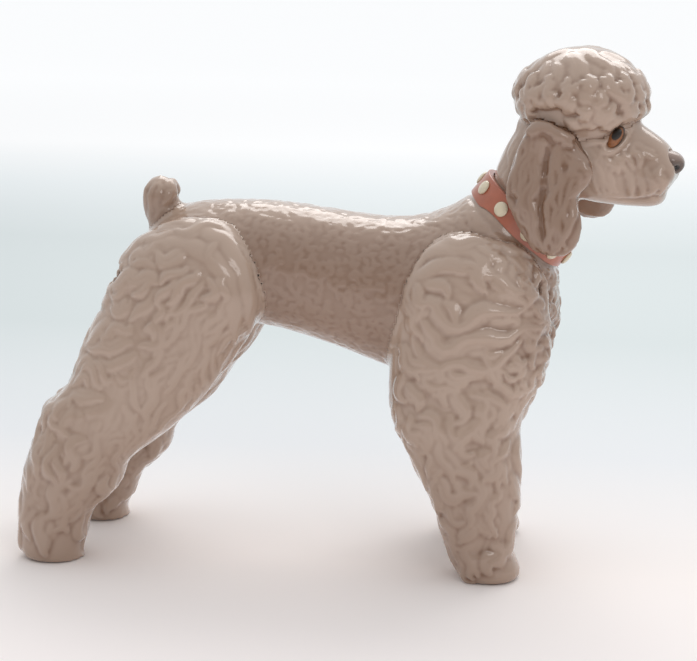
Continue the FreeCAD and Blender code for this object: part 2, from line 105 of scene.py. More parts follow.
# ---- Settings
def colour(name, description, value):
    return bpy.props.FloatVectorProperty(name=name, description=description, subtype="COLOR", size=3, min=0, max=1,
                                         default=value)


class CoatSettings(bpy.types.PropertyGroup):
    voxel: bpy.props.FloatProperty(name="Grain", description="Voxel size of the skin before it is divided once",
                                   default=1.15 * MM, unit="LENGTH")
    relief: bpy.props.FloatProperty(name="Relief", description="Scales the height of every lock of hair", default=1.0)
    seed: bpy.props.IntProperty(name="Seed", description="Places the locks", default=7)
    body: colour("Body", "Glaze over the legs and head", (0.485, 0.358, 0.280))
    # This tone colours the sprayed stain and also the painted shade: the grooves, the seams between castings, the
    # lower legs and the flanks are darkened with it.
    tint: colour("Tint", "Sprayed stain on the flanks, neck and grooves", (0.215, 0.115, 0.068))


class TrimSettings(bpy.types.PropertyGroup):
    strap: colour("Strap", "Collar glaze", (0.43, 0.130, 0.072))
    stud: colour("Stud", "Stud glaze", (0.72, 0.63, 0.46))
    iris: colour("Iris", "Lower part of the eye", (0.26, 0.095, 0.030))
    nose: colour("Nose", "Nose leather", (0.120, 0.085, 0.070))


class StageSettings(bpy.types.PropertyGroup):
    lens: bpy.props.FloatProperty(name="Lens", description="Focal length in millimetres", default=115.105)
    distance: bpy.props.FloatProperty(name="Distance", description="Camera to figure", default=0.9, unit="LENGTH")


# ---- Shader maths
class Value:
    """A socket of a node tree that can be used in arithmetic."""

    def __init__(self, sheet, socket):
        self.sheet = sheet
        self.socket = socket

    def maths(self, operation, *inputs):
        return self.sheet.node("ShaderNodeMath", {"operation": operation}, *inputs)

    def __add__(self, other):
        return self.maths("ADD", self, other)

    def __radd__(self, other):
        return self.maths("ADD", other, self)

    def __sub__(self, other):
        return self.maths("SUBTRACT", self, other)

    def __rsub__(self, other):
        return self.maths("SUBTRACT", other, self)

    def __mul__(self, other):
        return self.maths("MULTIPLY", self, other)

    def __rmul__(self, other):
        return self.maths("MULTIPLY", other, self)

    def __truediv__(self, other):
        return self.maths("DIVIDE", self, other)


class Sheet:
    """A material's node tree."""

    def __init__(self, name):
        self.material = bpy.data.materials.new(name)
        self.material.use_nodes = True
        self.tree = self.material.node_tree
        self.surface = self.tree.nodes["Principled BSDF"]

    @classmethod
    def of_world(cls, world):
        sheet = cls.__new__(cls)
        sheet.tree = world.node_tree
        return sheet

    def node(self, kind, settings, *inputs, out=0):
        """Adds a node, gives it its settings and then its inputs, and returns one of its outputs."""
        made = self.tree.nodes.new(kind)
        for name, value in settings.items():
            if name == "stops":
                while len(made.color_ramp.elements) < len(value):
                    made.color_ramp.elements.new(0.5)
                for element, (position, tone) in zip(made.color_ramp.elements, value):
                    element.position = position
                    element.color = (*tone, 1.0) if len(tone) == 3 else tone
            else:
                setattr(made, name, value)
        for socket, value in zip([s for s in made.inputs if s.enabled], inputs):
            self.join(socket, value)
        outputs = [s for s in made.outputs if s.enabled]
        return Value(self, outputs[out])

    def join(self, socket, value):
        if value is None:
            return
        if isinstance(value, Value):
            self.tree.links.new(value.socket, socket)
        elif isinstance(value, (tuple, list)) and len(value) == 3 and socket.type == "RGBA":
            socket.default_value = (*value, 1.0)
        else:
            socket.default_value = value

    def mix(self, factor, a, b, blend="MIX"):
        """Mixes two colours."""
        return self.node("ShaderNodeMix", {"data_type": "RGBA", "blend_type": blend}, factor, a, b)

    def attribute(self, name):
        return self.node("ShaderNodeAttribute", {"attribute_name": name}, out=2)

    def place(self):
        return self.node("ShaderNodeTexCoord", {}, out=3)

    def noise(self, scale, detail=3.0, vector=None):
        return self.node("ShaderNodeTexNoise", {}, vector or self.place(), scale, detail)

    def set(self, **values):
        """Sets or links sockets of the surface: Base_Color stands for Base Color."""
        for name, value in values.items():
            self.join(self.surface.inputs[name.replace("_", " ")], value)
        return self.material


# ---- Mesh helpers
def only(obj):
    """Makes one object the whole selection."""
    bpy.ops.object.select_all(action="DESELECT")
    obj.hide_set(False)
    obj.select_set(True)
    bpy.context.view_layer.objects.active = obj
    return obj


@contextmanager
def editing(obj):
    """Edit mode on one object, with all of its mesh selected."""
    only(obj)
    bpy.ops.object.mode_set(mode="EDIT")
    bpy.ops.mesh.select_all(action="SELECT")
    yield
    bpy.ops.object.mode_set(mode="OBJECT")


def fetch(items, field, width=1, kind=float):
    """One field of every point, edge, corner or face, as an array."""
    values = np.empty(len(items) * width, kind)
    items.foreach_get(field, values)
    return values.reshape(-1, width) if width > 1 else values


def read(obj):
    """Points in millimetres and their normals."""
    return fetch(obj.data.vertices, "co", 3) / MM, fetch(obj.data.vertices, "normal", 3)


def write(obj, points):
    obj.data.vertices.foreach_set("co", (points * MM).ravel())
    obj.data.update()


def edges_of(obj):
    return fetch(obj.data.edges, "vertices", 2, int)


def pick(obj, chosen):
    """Leaves only the chosen points selected, for edit mode to find."""
    for items in (obj.data.edges, obj.data.polygons):
        items.foreach_set("select", np.zeros(len(items), bool))
    obj.data.vertices.foreach_set("select", chosen)


def copy_of(node):
    """A loose copy of a CAD node, with its own mesh."""
    copy = frame["nodes"][node].copy()
    copy.data = copy.data.copy()
    bpy.context.collection.objects.link(copy)
    copy.parent = None
    copy.matrix_world = Matrix.Identity(4)
    return copy


def join(objects):
    """Joins objects into the first of them."""
    bpy.ops.object.select_all(action="DESELECT")
    for obj in objects:
        obj.select_set(True)
    bpy.context.view_layer.objects.active = objects[0]
    bpy.ops.object.join()
    return bpy.context.object


def relax(values, edges, rounds, weight=0.5):
    """Values at the points, each drawn towards its neighbours' mean."""
    count = len(values)
    degree = np.maximum(np.bincount(edges.ravel(), minlength=count), 1)
    flat = values.reshape(count, -1).copy()
    for _ in range(rounds):
        for column in range(flat.shape[1]):
            v = flat[:, column]
            total = np.bincount(edges[:, 0], v[edges[:, 1]], count) + np.bincount(edges[:, 1], v[edges[:, 0]], count)
            flat[:, column] = v + weight * (total / degree - v)
    return flat.reshape(values.shape)


def give(obj, name, values):
    """Stores a number at each point, for the material."""
    attribute = obj.data.attributes.new(name, "FLOAT", "POINT")
    attribute.data.foreach_set("value", np.asarray(values, np.float32))


def waves(seed, wavelength, count=9):
    """A smooth field in space that runs from about -1 to 1 and changes over about one wavelength."""
    rng = np.random.default_rng(seed)
    turn = rng.normal(size=(count, 3))
    turn *= (2 * math.pi / wavelength) * rng.uniform(0.6, 1.4, (count, 1)) / np.linalg.norm(turn, axis=1)[:, None]
    phase = rng.uniform(0, 2 * math.pi, count)
    return lambda p: np.sin(p @ turn.T + phase).sum(1) / math.sqrt(count / 1.4)


def step(x, low, high):
    """0 below low, 1 above high, smooth between."""
    t = np.clip((x - low) / (high - low), 0, 1)
    return t * t * (3 - 2 * t)


def bump(p, at, radius):
    """1 at a place, falling smoothly to nearly nothing two radii away. The radius may differ along each axis."""
    return np.exp(-(((p - np.array(at)) / np.array(radius)) ** 2).sum(1))


def unit(v):
    return v / np.maximum(np.linalg.norm(v, axis=-1, keepdims=True), 1e-9)


# ---- The head's own axes: ahead of the turning point, to the left, and up from the floor
TOPKNOT_AT, COLLAR_AT = middle_mm("topknot"), middle_mm("collar")
NOSE_AT = middle_mm("nose")
HEAD_TURN = math.radians(10)
AHEAD = np.array([math.cos(HEAD_TURN), -math.sin(HEAD_TURN), 0.0])
LEFTWARD = np.array([math.sin(HEAD_TURN), math.cos(HEAD_TURN), 0.0])
UP = np.array([0.0, 0.0, 1.0])
NOSE_AHEAD = 42.8
PIVOT = np.array([NOSE_AT[0], NOSE_AT[1], 0.0]) - AHEAD * NOSE_AHEAD


def to_head(p):
    q = p - PIVOT
    return np.stack([q @ AHEAD, q @ LEFTWARD, q[:, 2]], axis=1)


def from_head(q):
    q = np.atleast_2d(q)
    return PIVOT + q[:, :1] * AHEAD + q[:, 1:2] * LEFTWARD + q[:, 2:] * UP


# ---- Skin
class Skin:
    """The skin's points with a grid over them, so that the points near a lock are found quickly."""
    CELL = 2.5

    def __init__(self, points, normals, part):
        self.points, self.normals, self.part = points, normals, part
        self.low = points.min(0) - self.CELL
        self.size = np.ceil((points.max(0) - self.low) / self.CELL).astype(int) + 2
        cell = ((points - self.low) / self.CELL).astype(int)
        key = (cell[:, 0] * self.size[1] + cell[:, 1]) * self.size[2] + cell[:, 2]
        self.order = np.argsort(key, kind="stable")
        self.start = np.searchsorted(key[self.order], np.arange(self.size.prod() + 1))
        self.height = np.zeros(len(points))

    def near(self, path, reach):
        """Indices of the points in the path's box, reach wider all round."""
        a = np.maximum(((path.min(0) - reach - self.low) / self.CELL).astype(int), 0)
        b = np.minimum(((path.max(0) + reach - self.low) / self.CELL).astype(int), self.size - 1)
        runs = []
        for i in range(a[0], b[0] + 1):
            for j in range(a[1], b[1] + 1):
                row = (i * self.size[1] + j) * self.size[2]
                runs.append(self.order[self.start[row + a[2]]:self.start[row + b[2] + 1]])
        return np.concatenate(runs)

    def lay(self, path, normal, part, width, height, grooves=0, phase=0.0, root=0.3, lift=0.0, depth=0.3, tip=0.6,
            edge=0.55, carve=False):
        """Raises one lock of hair along a path, or carves a groove along it.

        A lock is domed across, low at its root and full near its tip, and scored along its length with grooves.
        """
        found = self.near(path, width / 2 + 0.6)
        if part is not None:
            found = found[self.part[found] == part]
        if not len(found):
            return
        p = self.points[found]
        a, b = path[:-1], path[1:]
        along = b - a
        length2 = np.maximum((along ** 2).sum(1), 1e-9)
        t = np.clip(np.einsum("psk,sk->ps", p[:, None] - a, along) / length2, 0, 1)
        offset = p[:, None] - (a + t[..., None] * along)
        distance2 = (offset ** 2).sum(2)
        best = distance2.argmin(1)
        rows = np.arange(len(p))
        facing = (self.normals[found] * normal[best]).sum(1)
        off = offset[rows, best]
        side = np.cross(unit(along), normal[:-1])[best]
        across = (off * side).sum(1)
        lifted = np.abs((off * normal[best]).sum(1))
        s = (best + t[rows, best]) / len(a)
        half = width / 2 * np.clip(0.25 + 4 * s, 0, 1) ** 0.5 * np.clip(0.12 + (1 - s) / (1 - tip), 0, 1) ** 0.7
        overrun = np.sqrt(np.maximum(distance2[rows, best] - lifted ** 2, 0))
        x = overrun / half
        inside = (x < 1) & (facing > 0.25) & (lifted < 3.5)
        if not inside.any():
            return
        x, s, across, half, keep = x[inside], s[inside], across[inside], half[inside], found[inside]
        if carve:
            fade = np.sin(np.pi * np.clip(0.1 + 0.8 * s, 0, 1)) ** 0.5
            self.height[keep] -= height * (1 - x * x) ** 1.5 * fade
            return
        dome = (1 - x * x) ** edge
        strands = 1.0
        if grooves:
            scored = 0.5 - 0.5 * np.cos(2 * np.pi * grooves * across / (2 * half) + phase)
            strands = 1 - depth * scored ** 1.5 * (1 - x ** 4)
        rise = root + (1 - root) * np.sin(np.pi * np.clip(0.08 + 0.68 * s, 0, 1))
        h = lift + height * dome * strands * rise
        self.height[keep] = np.maximum(self.height[keep], h)


class Walker:
    """Walks paths over the base skin."""

    def __init__(self, points, normals, part):
        self.points, self.normals, self.part = points, normals, part
        self.tree = kdtree.KDTree(len(points))
        for i, p in enumerate(points):
            self.tree.insert(p, i)
        self.tree.balance()
        self.views = {}

    def view(self, part, headwise, side):
        """A flat index of a part's near or far side, in the body's or the head's own axes."""
        key = (part, headwise, side)
        if key not in self.views:
            q = to_head(self.points) if headwise else self.points
            out = self.normals @ LEFTWARD if headwise else self.normals[:, 1]
            chosen = np.flatnonzero((self.part == part) & (out * side > 0.12))
            tree = kdtree.KDTree(len(chosen))
            for i in chosen:
                tree.insert((q[i, 0], 0.0, q[i, 2]), int(i))
            tree.balance()
            self.views[key] = tree
        return self.views[key]

    def trace(self, pairs, part, headwise, side):
        """A path drawn on a part's side as pairs of (ahead, up)."""
        tree = self.view(part, headwise, side)
        hit = np.array([tree.find((x, 0.0, z))[1] for x, z in pairs])
        return self.points[hit], self.normals[hit]

    def settle(self, p):
        """The nearest places on the skin and their normals."""
        hit = np.array([self.tree.find(q)[1] for q in p])
        n = self.normals[hit]
        return p - n * ((p - self.points[hit]) * n).sum(1)[:, None], n

    def walk(self, seeds, flow, length, steps, sway, sway_length, phase, coil, wander):
        """Paths from the seeds along flow, which sway from side to side and coil up towards their tips."""
        p, n = self.settle(seeds)
        paths, normals = [p], [n]
        stride = length / steps
        for k in range(steps):
            s = (k + 0.5) / steps
            angle = wander(p) + sway * np.sin(2 * np.pi * s * length / sway_length + phase) + coil * s * s
            d = flow(p)
            d = unit(d - n * (d * n).sum(1)[:, None])
            d = d * np.cos(angle)[:, None] + np.cross(n, d) * np.sin(angle)[:, None]
            p, n = self.settle(p + d * stride[:, None])
            paths.append(p)
            normals.append(n)
        return np.stack(paths, 1), np.stack(normals, 1)


# ---- How the hair runs over each part
def along_body(p):
    return np.tile([-1.0, 0.0, -0.3], (len(p), 1))


def hind_flow(p):
    """Back and down over the thigh, in level folds behind it and straight down in front of it."""
    x = np.interp(p[:, 2], [0, 35, 60, 90, 120, 138], [0.1, -0.35, -0.6, -0.45, -0.7, -1.0])
    rear = step(hind_axis(p) - p[:, 0], -2, 9) * step(p[:, 2], 55, 75)
    x = x * (1 - rear) - 1.0 * rear
    z = -np.ones(len(p)) * (1 - 0.75 * rear)
    return np.stack([x, np.zeros(len(p)), z], 1)


def hind_axis(p):
    """The middle of the hind leg seen from the side."""
    return np.interp(p[:, 2], [0, 20, 45, 60, 90, 120, 138], [-112, -112, -104, -100, -78, -62, -58])


def fore_valley(p):
    """Where the locks of the foreleg's two sides meet."""
    return np.interp(p[:, 2], [10, 24, 56, 80, 137], [60, 57, 50, 46, 46])


def fore_flow(p):
    """Forward over the shoulder, then down and in towards the valley."""
    across = np.clip((p[:, 0] - fore_valley(p)) / 7, -1, 1)
    low = np.stack([-0.75 * across, np.zeros(len(p)), -np.ones(len(p))], 1)
    high = np.tile([0.9, 0.0, -0.55], (len(p), 1))
    w = step(p[:, 2], 62, 84)[:, None]
    return high * w + low * (1 - w)


def down_chest(p):
    return np.tile([0.15, 0.0, -1.0], (len(p), 1)) + np.outer(np.sign(p[:, 1]), [0, 0.4, 0])


def down_neck(p):
    x = np.interp(p[:, 2], [100, 140, 160, 175], [0.2, 0.35, -0.3, -0.5])
    return np.stack([x, np.zeros(len(p)), -np.ones(len(p))], 1)


def over_topknot(p):
    """Out from the crown and down."""
    out = p - TOPKNOT_AT
    out[:, 2] = -6
    return out


def chest(p):
    return (p[:, 0] > 63) & (p[:, 2] < 128)


def breast(p):
    return (p[:, 0] > 68) & (p[:, 2] > 80) & (p[:, 2] < 124)


def flank(p):
    return ~chest(p) & (p[:, 0] < 60)


def neck_base(p):
    return ~chest(p) & (p[:, 0] > 40) & (p[:, 2] > 118)


def above_foot(p):
    return p[:, 2] > 13


def front_of_thigh(p):
    return (p[:, 0] > hind_axis(p) + 4) & (p[:, 2] > 45) & (p[:, 2] < 118)


def rest_of_hind(p):
    return ~front_of_thigh(p) & (p[:, 2] > 13)


def crown(p):
    return p[:, 2] > 199


def nape(p):
    return (to_head(p)[:, 0] < 3) & (p[:, 2] < 182)


# One row is one layer of locks: parts, where it grows, how many, lengths, widths, heights, sway, coil, wander,
# grooves and how deep they are, and the way the hair runs.
LAYERS = [
    ([TORSO], flank, 3000, (2.6, 5.0), (1.5, 2.3), (0.20, 0.38), 0.7, 2.2, 2.6, 0, 0, along_body),
    ([TORSO], neck_base, 260, (5, 9), (2.0, 3.0), (0.35, 0.7), 0.7, 1.0, 0.8, 0, 0, along_body),
    ([TORSO], chest, 260, (6, 10), (3.0, 4.4), (1.3, 2.4), 0.5, 4.5, 1.6, 2, 0.35, down_chest),
    (HIND_LEGS, front_of_thigh, 120, (16, 26), (3.0, 4.4), (0.6, 0.9), 0.5, 0.3, 0.35, 0, 0, hind_flow),
    (HIND_LEGS, rest_of_hind, 200, (11, 20), (5.5, 9.5), (0.9, 1.7), 0.7, 0.7, 0.5, 2, 0.2, hind_flow),
    (FORELEGS, above_foot, 200, (12, 21), (6.0, 10.0), (1.0, 2.0), 0.75, 1.0, 0.5, 2, 0.22, fore_flow),
    (FORELEGS, breast, 46, (7, 12), (3.6, 5.6), (1.6, 2.6), 0.4, 4.5, 1.6, 1, 0.2, down_chest),
    ([TOPKNOT], crown, 40, (12, 18), (5, 8), (0.6, 1.0), 0.4, 0.4, 0.5, 3, 0.3, over_topknot),
    ([HEAD], nape, 220, (8, 14), (2.0, 3.0), (0.3, 0.55), 0.5, 0.4, 0.3, 1, 0.2, down_neck),
]
SWAY_LENGTH = 14.0

# Sinuous folds under the locks: parts, where, spacing, height, and how far and over what distance they wander.
FOLDS = [
    (HIND_LEGS, above_foot, 4.6, 0.55, 0.35, 22.0, hind_flow),
    (FORELEGS, above_foot, 5.0, 0.6, 0.35, 22.0, fore_flow),
]


def fold(skin, spacing, height, wander, distance, flow, chosen, seed):
    """Lays folds that follow the flow: ridges with narrow creases between them, which wander and fork."""
    p = skin.points[chosen]
    d = flow(p)
    n = skin.normals[chosen]
    d = unit(d - n * (d * n).sum(1)[:, None])
    across = np.cross(n, d)
    swing = wander * distance
    turn = waves(seed, distance)(p) * swing + waves(seed + 1, distance * 0.4)(p) * swing * 0.22
    # The ridges are counted along three fixed directions and blended by how well each lies across the flow.
    total, weight = np.zeros(len(p)), np.zeros(len(p))
    for k in range(7):
        angle = math.pi * k / 7
        for fixed in ([math.cos(angle), 0, math.sin(angle)], [0, math.cos(angle), math.sin(angle)]):
            fit = np.abs(across @ np.array(fixed)) ** 8
            u = (p @ np.array(fixed) + turn + 3.1 * k) / spacing
            total += fit * (np.abs(np.cos(np.pi * u)) ** 0.8)
            weight += fit
    ridge = total / np.maximum(weight, 1e-6)
    above = step(p[:, 2], 10, 24)
    skin.height[chosen] = np.maximum(skin.height[chosen],
                                     height * (0.55 + 0.3 * waves(seed + 2, 20.0)(p)) * ridge * above)


def grow(skin, walker, layers, seed):
    """Lays layers of locks over the skin."""
    rng = np.random.default_rng(seed)
    rows = [(part, *row) for parts, *row in layers for part in parts]
    for part, where, count, length, width, height, sway, coil, wander, grooves, depth, flow in rows:
        home = np.flatnonzero(skin.part == part)
        home = home[where(skin.points[home])]
        seeds = skin.points[rng.choice(home, count)]
        drift = waves(seed + part, 24.0)
        lengths = rng.uniform(*length, count)
        paths, normals = walker.walk(
            seeds, flow, lengths, 12, sway * rng.uniform(0.5, 1.3, count), SWAY_LENGTH * rng.uniform(0.8, 1.3, count),
            rng.uniform(0, 2 * np.pi, count), coil * rng.choice([-1, 1], count) * rng.uniform(0.3, 1.2, count),
            lambda p: wander * drift(p))
        widths, heights = rng.uniform(*width, count), rng.uniform(*height, count)
        phases, lifts = rng.uniform(0, 2 * np.pi, count), rng.uniform(0, 0.3, count)
        for k in range(count):
            skin.lay(paths[k], normals[k], part, widths[k], heights[k], grooves, phases[k], 0.3,
                     lifts[k] * heights[k] * 0.4, depth, edge=0.95)


def comb(skin, walker, first, last, count, width, height, part, headwise=False, sides=(-1, 1), wobble=0.0,
         wave=9.0, **shape):
    """Locks side by side between two guide lines drawn on a part's side."""
    rng = np.random.default_rng(int(abs(first[0][0] * 31 + first[0][1] * 7 + count)))
    along = np.linspace(0, 1, 16)
    a = np.stack([np.interp(along, np.linspace(0, 1, len(first)), [q[i] for q in first]) for i in (0, 1)], 1)
    b = np.stack([np.interp(along, np.linspace(0, 1, len(last)), [q[i] for q in last]) for i in (0, 1)], 1)
    length = np.linalg.norm(np.diff(a, axis=0), axis=1).sum()
    for k in range(count):
        share = k / max(count - 1, 1)
        path = a + (b - a) * share
        run = unit(np.gradient(path, axis=0))
        swing = wobble * np.sin(2 * np.pi * along * length / wave + 1.3 * k + rng.uniform(-0.5, 0.5))
        path = path + np.stack([-run[:, 1], run[:, 0]], 1) * swing[:, None]
        for side in sides:
            on_skin, normal = walker.trace(path, part, headwise, side)
            skin.lay(on_skin, normal, part, width * rng.uniform(0.85, 1.15), height * rng.uniform(0.85, 1.15),
                     phase=rng.uniform(0, 6), **shape)


def one_lock(skin, walker, line, width, height, part, **shape):
    """A single lock or groove along one guide line."""
    comb(skin, walker, line, line, 1, width, height, part, **shape)


# Rows of curls round the topknot: how high, how many, how wide, how tall, and how many half steps the row is turned.
CURL_ROWS = [(200, 18, 7.0, 2.1, 0), (194, 23, 6.8, 2.5, 1), (187.5, 24, 6.6, 2.5, 0), (181.5, 23, 6.0, 2.0, 1)]


def ring_of_curls(skin, walker, height_up, count, width, height, twist):
    """A row of round curls about the topknot."""
    rng = np.random.default_rng(int(height_up))
    for k in range(count):
        angle = 2 * np.pi * (k + 0.5 * twist + rng.uniform(-0.12, 0.12)) / count
        out = np.array([math.cos(angle), math.sin(angle), 0.0])
        start = np.array([[TOPKNOT_AT[0], TOPKNOT_AT[1], height_up + rng.uniform(-0.8, 0.8)]]) + out * 24
        paths, normals = walker.walk(start, over_topknot, np.array([width * 1.15]), 10, 0.0, 9.0, 0.0,
                                     3.6 * (1 if k % 2 else -1), lambda p: 1.2 * rng.uniform(-1, 1))
        skin.lay(paths[0], normals[0], TOPKNOT, width * rng.uniform(0.9, 1.15), height * rng.uniform(0.85, 1.2),
                 grooves=1, phase=rng.uniform(0, 6), root=0.7, depth=0.2, tip=0.75, edge=0.6)


def dress_legs(skin, walker):
    """The bold forms of the legs: smooth bands over the thigh and shoulder, curls, the foreleg's valley."""
    for part, side in zip(HIND_LEGS, (-1, 1)):
        comb(skin, walker, [(-76, 135), (-60, 137), (-46, 132), (-38, 122), (-35, 108), (-36, 94)],
             [(-76, 131), (-62, 132), (-50, 127), (-43, 119), (-40, 106), (-41, 93)], 2, 8, 1.3, part,
             sides=(side,), root=0.8, tip=0.8)
    for part, side in zip(FORELEGS, (-1, 1)):
        comb(skin, walker, [(22, 112), (26, 124), (36, 131), (50, 132), (64, 129)],
             [(26, 110), (30, 120), (39, 126), (50, 127), (62, 124)], 2, 8, 1.3, part, sides=(side,), root=0.8,
             tip=0.85)
        comb(skin, walker, [(33, 112), (45, 105), (58, 108), (72, 112)], [(30, 96), (42, 87), (56, 88), (72, 96)], 3,
             10, 2.2, part, sides=(side,), wobble=2.0, wave=24, grooves=2, depth=0.18, tip=0.6, edge=0.85)
        one_lock(skin, walker, [(63, 91), (64, 82), (69, 77), (75, 79), (77, 86)], 6, 2.2, part, sides=(side,),
                 grooves=2, depth=0.25, tip=0.75)
        one_lock(skin, walker, [(69, 87), (70, 83), (73, 83)], 4, 0.9, part, sides=(side,), carve=True)
        one_lock(skin, walker, [(28, 60), (32, 54), (38, 57), (37, 64), (32, 64)], 5, 1.8, part, sides=(side,),
                 grooves=1, depth=0.2, tip=0.75)
        comb(skin, walker, [(49, 34), (54, 27), (60, 21)], [(58, 36), (61, 28), (64, 20)], 5, 3.0, 1.3, part,
             sides=(side,), grooves=1, depth=0.2)


def dress_tail(skin, walker):
    """A few upright strands and a tuft that leans forward at the top."""
    lo, hi = box_mm("tail")
    x0, x1 = lo[0], hi[0]
    comb(skin, walker, [(x0 + 1, 136), (x0 + 1, 144), (x0 + 3, 151)], [(x1 - 5, 138), (x1 - 4, 145), (x1 - 4, 151)], 4,
         3.4, 0.6, TAIL, wobble=0.4, wave=9)
    one_lock(skin, walker, [(x1 - 4, 143), (x1 - 2, 147), (x1 - 3, 151)], 5.5, 1.5, TAIL, root=0.5, tip=0.8)


def dress_ears(skin, walker):
    """Long wavy strands that part along the middle of each ear and fan out to its tip."""
    for part, side in zip(EARS, (-1, 1)):
        ear = dict(part=part, headwise=True, sides=(side,), wobble=0.8, wave=15, grooves=2, depth=0.25, tip=0.7,
                   edge=0.8)
        comb(skin, walker, [(-5, 178), (-9, 174), (-13, 164), (-15, 152), (-11, 142), (-5, 133)],
             [(-2, 176), (-4, 168), (-5, 158), (-6, 150), (-3, 142), (0, 132)], 6, 3.9, 1.6, **ear)
        comb(skin, walker, [(2, 177), (3, 168), (2, 158), (2, 148), (2, 140), (2, 132)],
             [(6, 175), (13, 168), (15, 162), (10, 154), (10, 144), (8, 134)], 6, 3.7, 1.6, **ear)
        one_lock(skin, walker, [(-8, 177), (-3, 180), (3, 179), (8, 173)], 8.5, 2.6, part, headwise=True,
                 sides=(side,), root=0.8, tip=0.85)
        one_lock(skin, walker, [(-1, 172), (-1, 162), (-2, 150), (0, 138)], 2.6, 1.0, part, headwise=True,
                 sides=(side,), carve=True)


def dress_face(skin, walker):
    """Brow tufts, cheek strands, the folds under the eye and along the muzzle, the lips."""
    face = dict(part=HEAD, headwise=True)
    comb(skin, walker, [(9, 177), (14, 182), (21, 184)], [(15, 175), (20, 180), (28, 181)], 4, 4.0, 1.5, grooves=2,
         **face)
    comb(skin, walker, [(8, 173), (12, 168), (15, 160), (17, 153)], [(15, 173), (18, 167), (21, 160), (24, 154)], 4,
         4.2, 0.6, grooves=1, **face)
    comb(skin, walker, [(20, 167), (23, 165), (25, 162)], [(29, 171), (32, 168), (33, 164)], 4, 3.0, 1.2, **face)
    comb(skin, walker, [(28, 164), (30, 158), (29, 152)], [(39, 163), (42, 158), (40, 153)], 4, 3.8, 0.9, wobble=0.2,
         **face)
    one_lock(skin, walker, [(30, 172), (34, 170), (38, 168)], 4, 0.5, **face)
    one_lock(skin, walker, [(44, 156), (41, 153), (36, 152), (28, 151), (20, 151)], 1.8, 0.7, carve=True, **face)


def lids(skin):
    """A rim around each eye and a shallow socket for it."""
    q = to_head(skin.points)
    for side in (-1, 1):
        centre = to_head(middle_mm("right_eye" if side < 0 else "left_eye")[None])[0]
        u = (q[:, 0] - centre[0]) * math.cos(EYE_SLANT) + (q[:, 2] - centre[2]) * math.sin(EYE_SLANT)
        v = -(q[:, 0] - centre[0]) * math.sin(EYE_SLANT) + (q[:, 2] - centre[2]) * math.cos(EYE_SLANT)
        ring = np.sqrt((u / 5.1) ** 2 + (v / 2.6) ** 2)
        near = (q[:, 1] * side > 6) & (skin.part == HEAD)
        skin.height += near * (1.0 * np.exp(-((ring - 1.22) / 0.26) ** 2) - 0.9 * np.exp(-(ring / 0.85) ** 4))


def join_castings():
    """One object of every casting, each face marked with its part."""
    copies = [copy_of(name) for name in CASTINGS]
    for index, copy in enumerate(copies):
        copy.data.materials.clear()
        for slot in range(len(CASTINGS)):
            copy.data.materials.append(marker(slot))
        copy.data.polygons.foreach_set("material_index", np.full(len(copy.data.polygons), index))
    body = join(copies)
    with editing(body):
        bpy.ops.mesh.remove_doubles(threshold=SAME_POINT)
    body.name = "figure"
    return body


def marker(slot):
    name = "part_" + CASTINGS[slot]
    return bpy.data.materials.get(name) or bpy.data.materials.new(name)


WAYS_TO_LOOK, OFF_SKIN = 26, 0.2


def outer_skin(body, voxel):
    """Turns the joined castings into one even skin and leaves out what lies inside it.

    A point lies outside if it can be seen from far away in at least one direction.
    """
    only(body)
    modifier = body.modifiers.new("even", "REMESH")
    modifier.mode = "VOXEL"
    modifier.voxel_size = voxel
    bpy.ops.object.modifier_apply(modifier="even")
    points, normals = read(body)
    tree = BVHTree.FromObject(body, bpy.context.evaluated_depsgraph_get())
    ways = unit(np.random.default_rng(3).normal(size=(WAYS_TO_LOOK, 3)))
    inside = np.ones(len(points))
    for way in ways:
        ray = Vector(way)
        for i in np.flatnonzero((inside > 0) & (normals @ way > 0.15)):
            if tree.ray_cast(Vector((points[i] + normals[i] * OFF_SKIN) * MM), ray)[0] is None:
                inside[i] = 0
    inside = relax(inside, edges_of(body), 6, 0.8) > 0.5
    with editing(body):
        bpy.ops.mesh.select_mode(type="VERT")
    pick(body, inside)
    bpy.ops.object.mode_set(mode="EDIT")
    bpy.ops.mesh.delete(type="VERT")
    bpy.ops.object.mode_set(mode="OBJECT")
    with editing(body):
        bpy.ops.mesh.fill_holes(sides=0)
    keep_largest(body)


def keep_largest(body):
    """Leaves out every loose scrap, keeping what is joined to the topmost point."""
    points, _ = read(body)
    picked = np.zeros(len(points), bool)
    picked[int(points[:, 2].argmax())] = True
    pick(body, picked)
    bpy.ops.object.mode_set(mode="EDIT")
    bpy.ops.mesh.select_linked()
    bpy.ops.mesh.select_all(action="INVERT")
    bpy.ops.mesh.delete(type="VERT")
    bpy.ops.object.mode_set(mode="OBJECT")


def mark_parts(body, tree, part_of_face):
    """Marks each face of the skin with the casting it lies on, and evens out the borders between them."""
    mesh = body.data
    count = len(mesh.polygons)
    part = np.array([part_of_face[tree.find_nearest(c)[2]] for c in fetch(mesh.polygons, "center", 3)])
    corners = fetch(mesh.loops, "vertex_index", kind=int)
    owner = np.repeat(np.arange(count), fetch(mesh.polygons, "loop_total", kind=int))
    for _ in range(6):
        votes = np.zeros((len(mesh.vertices), len(CASTINGS)))
        np.add.at(votes, (corners, part[owner]), 1.0)
        tally = np.zeros((count, len(CASTINGS)))
        np.add.at(tally, owner, votes[corners])
        part = tally.argmax(1)
    mesh.materials.clear()
    for slot in range(len(CASTINGS)):
        mesh.materials.append(marker(slot))
    mesh.polygons.foreach_set("material_index", part)


